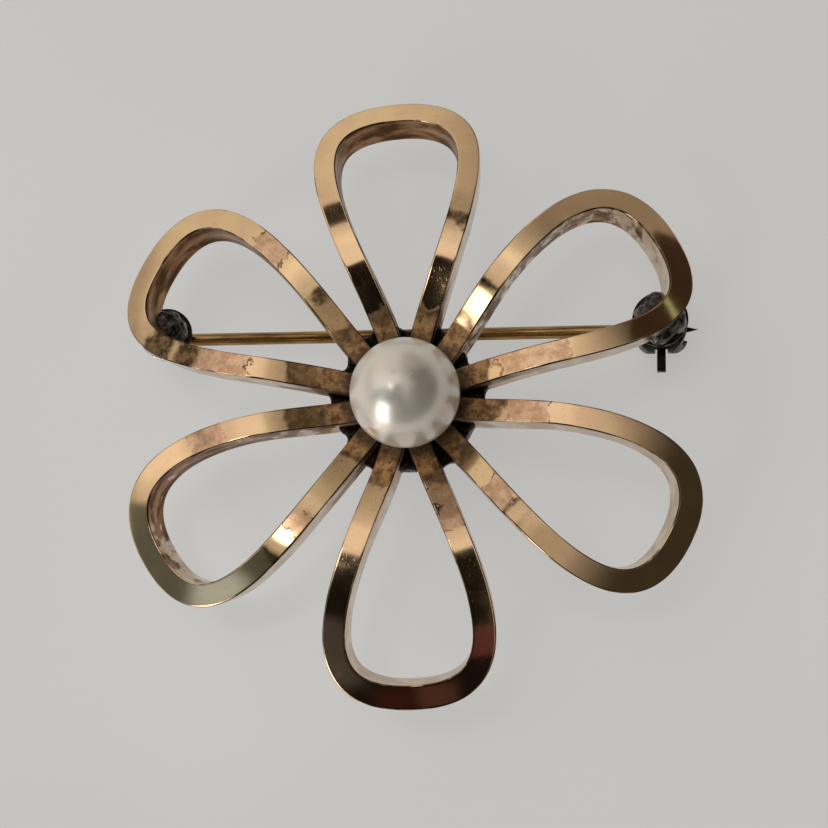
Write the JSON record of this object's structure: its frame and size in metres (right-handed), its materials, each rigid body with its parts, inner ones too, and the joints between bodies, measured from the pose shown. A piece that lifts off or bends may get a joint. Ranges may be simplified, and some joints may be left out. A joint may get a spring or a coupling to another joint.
{
  "type": "brooch",
  "caption": "Flower brooch of open wire petals around a single pearl, with a hinged pin stem and a turning safety catch on the back.",
  "frame": {"origin": "middle of the hub plate's flat back", "axes": "+Z out of the flower's front toward the pearl, +X along the pin stem from hinge to catch, +Y toward the top petal"},
  "size_m": [0.0407, 0.0434, 0.013],
  "materials": {
    "gold_wire": "polished rose-yellow gold with brown patina near the hub",
    "hub_metal": "dark oxidised",
    "worn_gold": "dull gold",
    "pin_brass": "polished, lightly scratched",
    "grey_metal": "dull dark grey, oxidised",
    "solder": "lumpy silver-grey solder",
    "pearl": "glossy white pearl"
  },
  "bodies": {
    "flower": {"petal_top": "gold_wire", "petal_upper_right": "gold_wire", "petal_lower_right": "gold_wire", "petal_bottom": "gold_wire", "petal_lower_left": "gold_wire", "petal_upper_left": "gold_wire", "hub_plate": "hub_metal", "pearl_cup": "worn_gold", "pearl_peg": "pin_brass", "pearl": "pearl", "hinge_pad": "grey_metal", "hinge_channel": "grey_metal", "hinge_rivet": "grey_metal", "hinge_solder": "solder", "catch_pad": "grey_metal", "catch_housing": "grey_metal", "catch_solder": "solder"},
    "pin": {"pin_stem": "pin_brass"},
    "lock": {"catch_rotor": "grey_metal"}
  },
  "joints": [
    {"name": "pin_hinge", "type": "hinge", "parent": "flower", "child": "pin", "pos_m": [-0.01805, 0.00565, -0.0021], "axis": [0, 1, 0], "range_deg": [0, 80]},
    {"name": "catch_turn", "type": "hinge", "parent": "flower", "child": "lock", "pos_m": [0.01735, 0.00565, -0.0021], "axis": [1, 0, 0], "range_deg": [0, 115]}
  ]
}
